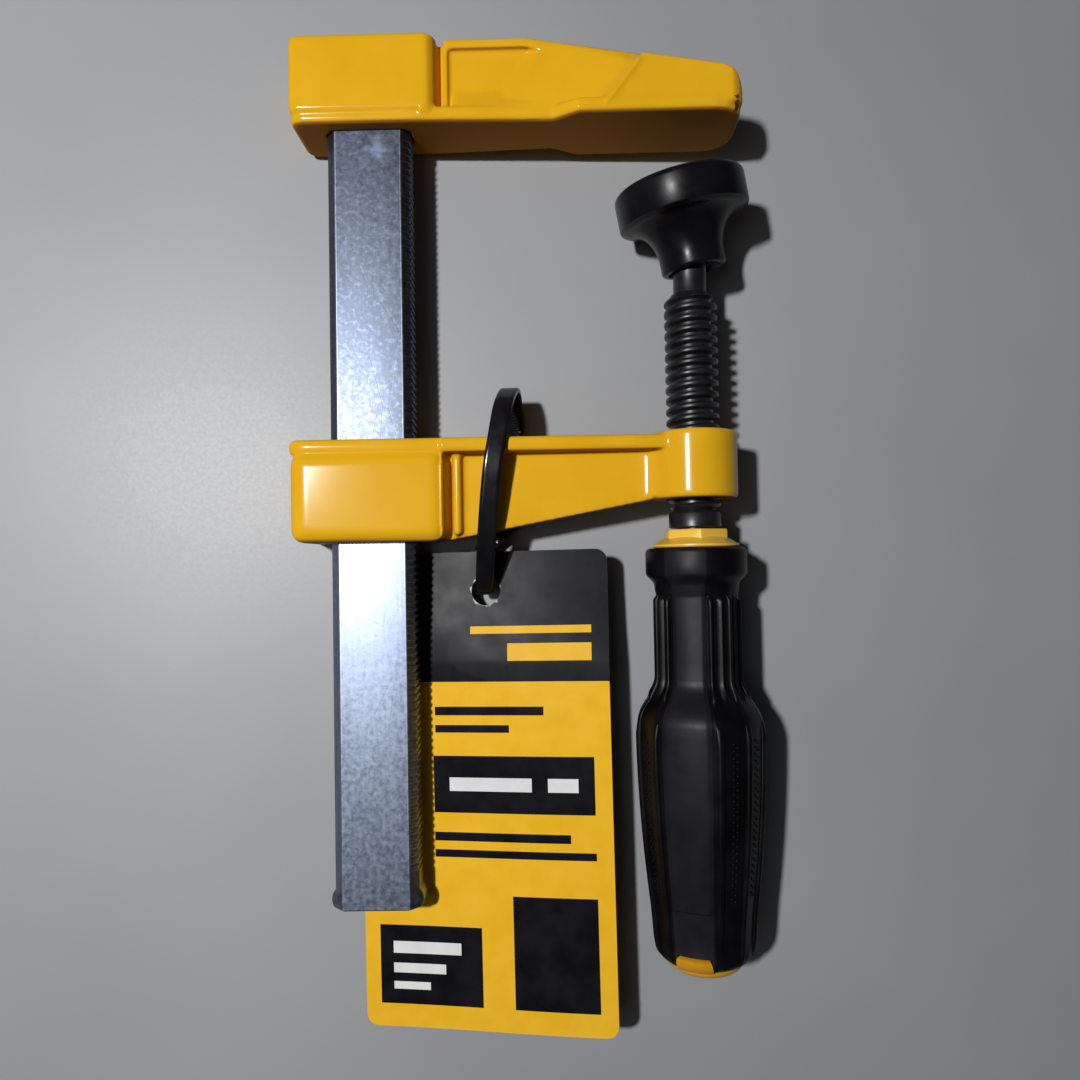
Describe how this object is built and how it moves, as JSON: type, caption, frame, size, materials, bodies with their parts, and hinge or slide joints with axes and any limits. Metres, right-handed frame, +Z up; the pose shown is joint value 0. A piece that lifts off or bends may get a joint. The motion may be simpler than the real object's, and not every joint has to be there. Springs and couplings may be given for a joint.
{
  "type": "bar clamp",
  "caption": "Light bar clamp with a cast sliding jaw, a screw with a soft grip and swivel pad, and a hang card on a cable tie",
  "frame": {"origin": "middle of the fixed jaw's clamping face, on the screw's axis", "axes": "+Y along the bar and the screw towards the fixed jaw, +Z up with the clamp lying on its side, -X towards the bar"},
  "size_m": [0.0837, 0.1809, 0.0247],
  "materials": {
    "bar": "bright zinc plating with a mottled spangle",
    "jaw_paint": "glossy yellow paint on a casting",
    "lock_shoe": "plain",
    "lock_spring": "spring steel",
    "spindle": "black oxide, lightly oiled",
    "pad_insert": "plain",
    "swivel_pad": "satin",
    "handle_core": "moulded yellow",
    "handle_grip": "soft-touch black with smooth panels",
    "cable_tie": "black nylon",
    "hang_tag": "laminated card, yellow with a black head"
  },
  "bodies": {
    "frame": {"bar": "bar", "fixed_jaw": "jaw_paint"},
    "sliding_jaw": {"sliding_jaw": "jaw_paint", "lock_shoe": "lock_shoe", "lock_spring": "lock_spring", "cable_tie": "cable_tie"},
    "ball_seat": {"ball_seat": "pad_insert"},
    "screw": {"spindle": "spindle", "handle_core": "handle_core", "handle_grip": "handle_grip"},
    "snap_ring": {"snap_ring": "pad_insert"},
    "swivel_pad": {"swivel_pad": "swivel_pad"},
    "hang_tag": {"hang_tag": "hang_tag"}
  },
  "joints": [
    {"name": "jaw_slide", "type": "slide", "parent": "frame", "child": "sliding_jaw", "axis": [0, 1, 0], "range_m": [-0.061, 0.004]},
    {"name": "screw_feed", "type": "slide", "parent": "sliding_jaw", "child": "ball_seat", "axis": [0, 1, 0], "range_m": [-0.0283, 0.0022]},
    {"name": "spindle_turn", "type": "hinge", "parent": "ball_seat", "child": "screw", "pos_m": [0, -0.0205, 0], "axis": [0, 1, 0], "range_deg": [-5080, 390]},
    {"name": "pad_tilt", "type": "hinge", "parent": "ball_seat", "child": "snap_ring", "pos_m": [0, -0.0205, 0], "axis": [-0.0671, 0, 0.9977], "range_deg": [-22, 0]},
    {"name": "pad_lean", "type": "hinge", "parent": "snap_ring", "child": "swivel_pad", "pos_m": [0, -0.0205, 0], "axis": [0.9794, 0.1908, 0.0659], "range_deg": [-16, 5]},
    {"name": "tag_swing", "type": "hinge", "parent": "sliding_jaw", "child": "hang_tag", "pos_m": [-0.0385, -0.0841, -0.0055], "axis": [0.9807, 0.0087, 0.1951], "range_deg": [0, 8]}
  ],
  "couplings": [
    {"joint": "screw_feed", "follows": "spindle_turn", "m_per_rad": 0.00031831}
  ]
}
